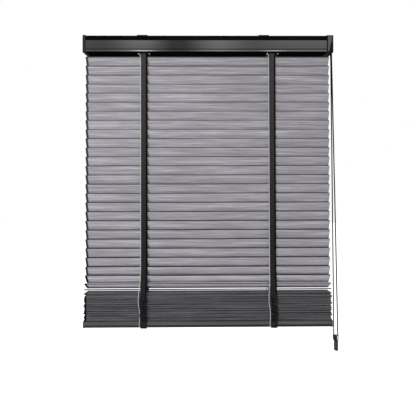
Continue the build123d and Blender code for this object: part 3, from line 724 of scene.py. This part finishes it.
def dress_slats():
    """Wood on both faces of every slat and stained edges; the closed slats' edges are near black, partly
    as painted shade in the laps, and from the settling slats down the wood and edges are lighter, as
    painted light.
    """
    # Two finishes of one wood: the closed one with painted shade, the other painted lighter as painted
    # light.
    closed = (slat_wood("slat_wood_face", True), slat_edge("slat_wood_edge", 0.012, 0.03))
    others = (slat_wood("slat_wood_stack", False), slat_edge("slat_wood_stack_edge", 0.025, 0.09))
    for number in range(1, SLATS + 1):
        finish = closed if number <= SLATS_CLOSED else others
        mesh = node_materials(f"slat_{number:02d}", *finish)
        face = largest_face(mesh)
        for polygon in mesh.polygons:
            polygon.material_index = 0 if abs(polygon.normal.dot(face)) > FACE_TURN else 1


def dress_headrail():
    """Satin paint on the face, and flat black on the recessed strip and inside the top, partly their own
    colour and partly painted shade, and underneath, as painted shade.
    """
    strip = rail_paint("rail_paint_strip", 0.004, 0.9, 0.0)
    mesh = node_materials("headrail", headrail_paint(), strip)
    for polygon in mesh.polygons:
        # Black here: the underside as painted shade, the strip partly as painted shade.
        black = polygon.center.z > RAIL_STRIP_FOOT or polygon.normal.z < -0.4
        polygon.material_index = 1 if black else 0


def dress_other_nodes():
    inner = plastic("inner_plastic_black", 0.006, 0.7, specular=0.04)
    node_materials("left_end_cap", plastic("cap_plastic_satin", 0.028, 0.7, specular=0.04))
    node_materials("control_housing", unit_plastic())
    node_materials("mounting_brackets", rail_paint("bracket_paint", 0.02, 0.45, 0.4))
    node_materials("drive_shaft", steel())
    for node in ("shaft_gear", "cord_pulley", "ladder_cradles", "lift_spools", "tilt_drums"):
        node_materials(node, inner)
    node_materials("bottom_rail", rail_wood())
    node_materials("bottom_rail_plugs", plastic("end_plug_plastic", 0.012, 0.5))
    node_materials("joiner_socket", plastic("joiner_black", 0.006, 0.4, specular=0.2))
    node_materials("joiner_plug", plastic("joiner_white", 0.72, 0.3, (0.97, 1.0, 1.05)))
    node_materials("cord_weight", plastic("weight_black", 0.006, 0.35, (0.9, 1.0, 1.15), 0.3))


# Ladder tapes

def slat_middle(number):
    low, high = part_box(f"slat_{number:02d}")
    return (low.z + high.z) / 2


def leg_line(side):
    """The front (-1) or rear (1) leg as (distance from the middle, height), and where its folds start."""
    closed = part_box("slat_01")[1].y + TAPE_GAP + TAPE_THICKNESS / 2
    opened = SLAT_HALF + TAPE_STACK_GAP + TAPE_THICKNESS / 2
    drum = DRUM_RADIUS + TAPE_THICKNESS
    line = [(drum, SHAFT_Z), (drum, RAIL_UNDER - 0.0015)]
    top = slat_middle(1) + SLAT_HALF
    last = slat_middle(SLATS_CLOSED)
    steps = 4 * SLATS_CLOSED
    for step in range(steps + 1):
        z = top + (last - top) * step / steps
        line.append((closed + TAPE_PRESS * math.sin(step * math.pi / 2), z))
    for number in range(SLATS_CLOSED + 1, SLATS_HANGING + 1):
        low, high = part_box(f"slat_{number:02d}")
        edge = high.z - TAPE_THICKNESS if side < 0 else low.z + TAPE_THICKNESS
        line.append((high.y + TAPE_GAP + TAPE_THICKNESS / 2, edge))
    first_fold = len(line)
    for number in range(SLATS_HANGING + 1, SLATS + 1):
        line += fold_points(opened, number)
    rail_low, rail_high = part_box("bottom_rail")
    line.append((opened, rail_high.z))
    line.append((opened, (rail_low.z + rail_high.z) / 2))
    line.append((opened, rail_low.z + 0.0012))
    line.append((opened - 0.0006, rail_low.z - TAPE_THICKNESS))
    line.append((opened - 0.004, rail_low.z - TAPE_THICKNESS * 1.2))
    return line, first_fold


def fold_points(inner, number):
    """The loop of slack tape beside one stacked slat: it swells out and droops."""
    z = slat_middle(number)
    depth = FOLD_DEPTH * (0.8 + 0.35 * math.sin(2.3 * number))
    points = []
    for step in range(FOLD_STEPS):
        t = step / FOLD_STEPS
        swell = math.sin(math.pi * t) ** 0.8
        height = z + STACK_PITCH * (0.5 - t) - FOLD_DROOP * math.sin(math.pi * t)
        points.append((inner + depth * swell, height))
    return points


def over_drum():
    """The tape's way over the top of the tilt drum, from the rear leg to the front leg."""
    radius = DRUM_RADIUS + TAPE_THICKNESS
    angles = [math.pi * step / DRUM_STEPS for step in range(1, DRUM_STEPS)]
    return [(radius * math.cos(angle), SHAFT_Z + radius * math.sin(angle)) for angle in angles]


def crumple(seed, first, last, count):
    """How far the tape stands off its own line: nothing where it hangs, more in the stack."""

    def wave(index, u):
        mirror = min(index, count - 1 - index)
        if not first <= mirror <= last:
            return 0.0, 0.0
        fade = min(1.0, (mirror - first) / 6, (last - mirror) / 6)
        bend = math.sin(9 * u + 1.7 * mirror + seed) + 0.6 * math.sin(17 * u - 0.9 * mirror)
        lift = math.sin(7 * u + 0.8 * mirror + 2 * seed)
        return CRUMPLE_BEND * fade * bend, CRUMPLE_LIFT * fade * lift

    return wave


def sway(seed, z):
    """The small sideways drift of the tape in the stack."""
    top = slat_middle(SLATS_HANGING + 1)
    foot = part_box("bottom_rail")[1].z
    t = (top - z) / (top - foot)
    if t <= -0.2:
        return 0.0
    t = min(t, 1.1)
    return -SWAY * math.sin(2.6 * (t + 0.2) + seed) * min(1.0, t + 0.2)


def ladder_tape(station, side, seed, material, folded):
    """Front leg, strap under the bottom rail, rear leg and the way over the drum, as one band."""
    x = station_x(side)
    front, first_fold = leg_line(-1)
    rear = leg_line(1)[0]
    rows = [(x + sway(seed, z), -y, z, -1) for y, z in front]
    rows += [(x + sway(seed, z), y, z, 1) for y, z in reversed(rear)]
    rows += [(x, y, z, 1) for y, z in over_drum()]
    rows.append((x, rows[0][1] - 0.00001, rows[0][2], -1))
    count = 2 * len(front)
    first = first_fold - 1
    last = len(front) - 6
    wave = crumple(seed, first, last, count)
    tape, length = ribbon(f"tape_{station}", rows, TAPE_WIDTH, material, wave)
    tape.data.materials.append(folded)
    for polygon in tape.data.polygons:
        row = polygon.vertices[0] // (TAPE_COLUMNS + 1)
        mirror = min(row, count - 1 - row)
        polygon.material_index = 1 if first <= mirror <= last + 3 else 0
    solidify(tape, TAPE_THICKNESS)
    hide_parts(f"ladder_tape_{station}")
    stretch_with_rail(tape)


def stretch_with_rail(piece):
    """Bakes the piece's placement into its mesh."""
    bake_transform(piece)


def rung(number, material):
    """The two cross strips that carry one slat, along its underside between the legs."""
    slat = f"slat_{number:02d}"
    face = largest_face(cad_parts[slat].data)
    if face.z > 0:
        face = -face
    across = Vector((0, -face.z, face.y))
    if across.y < 0:
        across = -across
    low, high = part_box(slat)
    middle = (low + high) / 2
    reach = SLAT_HALF + RUNG_TUCK
    depth = SLAT_THICKNESS / 2 + RUNG_THICKNESS
    mesh = bpy.data.meshes.new(f"rung_{number:02d}")
    points = []
    faces = []
    for side in (-1, 1):
        x = station_x(side)
        base = len(points)
        for step in range(RUNG_STEPS + 1):
            t = 2 * step / RUNG_STEPS - 1
            lift = RUNG_TUCK if abs(t) > 0.9 else 0.0
            centre = Vector((0, middle.y, middle.z)) + across * (t * reach) + face * (depth - lift)
            points.append((x - RUNG_WIDTH / 2, centre.y, centre.z))
            points.append((x + RUNG_WIDTH / 2, centre.y, centre.z))
        for step in range(RUNG_STEPS):
            a = base + 2 * step
            faces.append((a, a + 1, a + 3, a + 2))
    mesh.from_pydata(points, [], faces)
    strip = add_object(f"rung_{number:02d}", mesh, material)
    solidify(strip, RUNG_THICKNESS)
    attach(strip, slat)


# Cords

def lift_cord_points(x, side):
    """The cord's route from the rail's floor down beside the tape and under the bottom rail."""
    line = x + LIFT_CORD_OFFSET
    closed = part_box("slat_01")[1].y + 0.0003 + LIFT_CORD_RADIUS
    front = SLAT_HALF + 0.0011 + LIFT_CORD_RADIUS
    rows = [slat_middle(SLATS_CLOSED + step) for step in range(3)]
    top = slat_middle(SLATS_HANGING + 1)
    rail_low, rail_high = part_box("bottom_rail")
    first = slat_middle(1)
    return [
        (line - 0.002, side * 0.0078, RAIL_UNDER + 0.001),
        (line - 0.0004, side * (closed + 0.0006), first + SLAT_HALF + 0.0015),
        (line, side * closed, first - SLAT_PITCH),
        (line + 0.0003, side * (closed + 0.0001), rows[0] - 0.002),
        (line - 0.0004, side * (front - 0.004), rows[1] - 0.003),
        (line - 0.0016, side * (front - 0.0006), rows[2]),
        (line - 0.0034, side * (front + 0.0002), top - 0.002),
        (line - 0.0026, side * (front + 0.0004), top - 0.018),
        (line, side * (front + 0.0001), top - 0.032),
        (line + 0.0002, side * front, rail_high.z + 0.008),
        (line - 0.0008, side * (front + 0.0002), rail_high.z - 0.003),
        (line - 0.0006, side * (front - 0.0001), rail_low.z + 0.001),
        (line - 0.0005, side * (front - 0.003), rail_low.z - 0.0012),
    ]


def winding_points(x):
    """The turns of cord side by side on the spool."""
    start = x + SPOOL_START
    steps = SPOOL_TURNS * TURN_STEPS
    points = []
    for step in range(steps + 1):
        angle = 2 * math.pi * step / TURN_STEPS
        y = SPOOL_RADIUS * math.sin(angle)
        z = SHAFT_Z + SPOOL_RADIUS * math.cos(angle)
        points.append((start + SPOOL_WOUND * step / steps, y, z))
    return points


def lift_cord_piece(name, route, material, resolution):
    """One piece of lift cord as a mesh."""
    cord = as_mesh(curve_object(name, route, LIFT_CORD_RADIUS, material, resolution), material)
    return cord


def add_lift_cords(material):
    for station, side in STATIONS:
        x = station_x(side)
        for name, face in (("front", -1), ("rear", 1)):
            route = lift_cord_points(x, face)
            cord = lift_cord_piece(f"lift_cord_{station}_{name}", route, material, 12)
            if face < 0:
                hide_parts(f"lift_cords_{station}")
            stretch_with_rail(cord)
        windings = lift_cord_piece(f"windings_{station}", winding_points(x), material, 2)
        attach(windings, "drive_train")


def strand_points(side, foot_x):
    """The operating cord's route: pulley, the back strand's bend to the front, straight run, joiner."""
    y = PULLEY_Y + side * PULLEY_CORD_RADIUS
    above = Vector((foot_x, PULLEY_Y, STRAND_FOOT_Z + STRAND_END))
    bends = [Vector((PULLEY_X, y, SHAFT_Z - 2 * PULLEY_CORD_RADIUS))]
    if side > 0:
        bends = [
            Vector((PULLEY_X, y, SHAFT_Z - STRAND_TURN)),
            Vector((PULLEY_X, STRAND_GATHER_Y, SHAFT_Z - STRAND_GATHER_DROP)),
        ]
    bends.append(bends[-1].lerp(above, STRAND_BEND))
    top = (PULLEY_X, PULLEY_Y, SHAFT_Z + PULLEY_CORD_RADIUS)
    corner = (PULLEY_X, y, SHAFT_Z + PULLEY_CORD_RADIUS)
    foot = (foot_x, PULLEY_Y, STRAND_FOOT_Z)
    return [top, corner, *[tuple(bend) for bend in bends], tuple(above), foot]


def curve_length(obj):
    """The length of a curve's own line, taken from a thin copy."""
    thin = bpy.data.objects.new("thin", obj.data.copy())
    thin.data.bevel_depth = 0.0
    bpy.context.collection.objects.link(thin)
    graph = bpy.context.evaluated_depsgraph_get()
    line = bpy.data.meshes.new_from_object(thin.evaluated_get(graph))
    ends = [[line.vertices[index].co for index in edge.vertices] for edge in line.edges]
    length = sum((a - b).length for a, b in ends)
    bpy.data.objects.remove(thin)
    return length


def add_operating_cord(material):
    for name, side, foot, with_pieces in (
        ("front", -1, STRAND_FEET[0], ["joiner_plug"]),
        ("back", 1, STRAND_FEET[1], ["joiner_socket", "cord_weight"]),
    ):
        route = strand_points(side, foot)
        cord = curve_object(f"operating_strand_{name}", route, CORD_RADIUS, material, 24)
        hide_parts(f"operating_cord_{name}")
        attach(cord, "root")
        curve_length(cord)


# Small fasteners

def add_rivets():
    """Two domed rivets beside each tape, in the grommet under the rail."""
    metal = rivet_metal()
    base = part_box("ladder_cradles")[0].z
    profile = [
        (RIVET_RADIUS, 0.0004),
        (RIVET_RADIUS, -0.0002),
        (0.85 * RIVET_RADIUS, -0.0006),
        (0.5 * RIVET_RADIUS, -0.0009),
        (0.1 * RIVET_RADIUS, -0.001),
    ]
    for station, side in STATIONS:
        for spot, offset in (("a", -RIVET_OFFSET), ("b", RIVET_OFFSET)):
            at = (station_x(side) + offset, RIVET_Y, base)
            rivet = lathe(f"rivet_{station}_{spot}", profile, at, metal, RIVET_STEPS)
            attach(rivet, "root")


add_camera()
add_world()
add_area_light("key", KEY_AT, KEY_SIZE, KEY_POWER)
add_floor()
dress_slats()
dress_headrail()
dress_other_nodes()
cloth = tape_cloth()
folds = crumpled_cloth()
for tape_station, tape_seed in zip(STATIONS, (0.4, 2.1)):
    ladder_tape(*tape_station, tape_seed, cloth, folds)
for slat_number in range(1, SLATS + 1):
    rung(slat_number, cloth)
add_lift_cords(braid("lift_cord_braid", gray(0.52, LIFT_CORD_TINT), gray(0.74, LIFT_CORD_TINT)))
add_operating_cord(braid("operating_cord_braid", gray(0.003), gray(0.012)))
add_rivets()
bpy.context.view_layer.update()
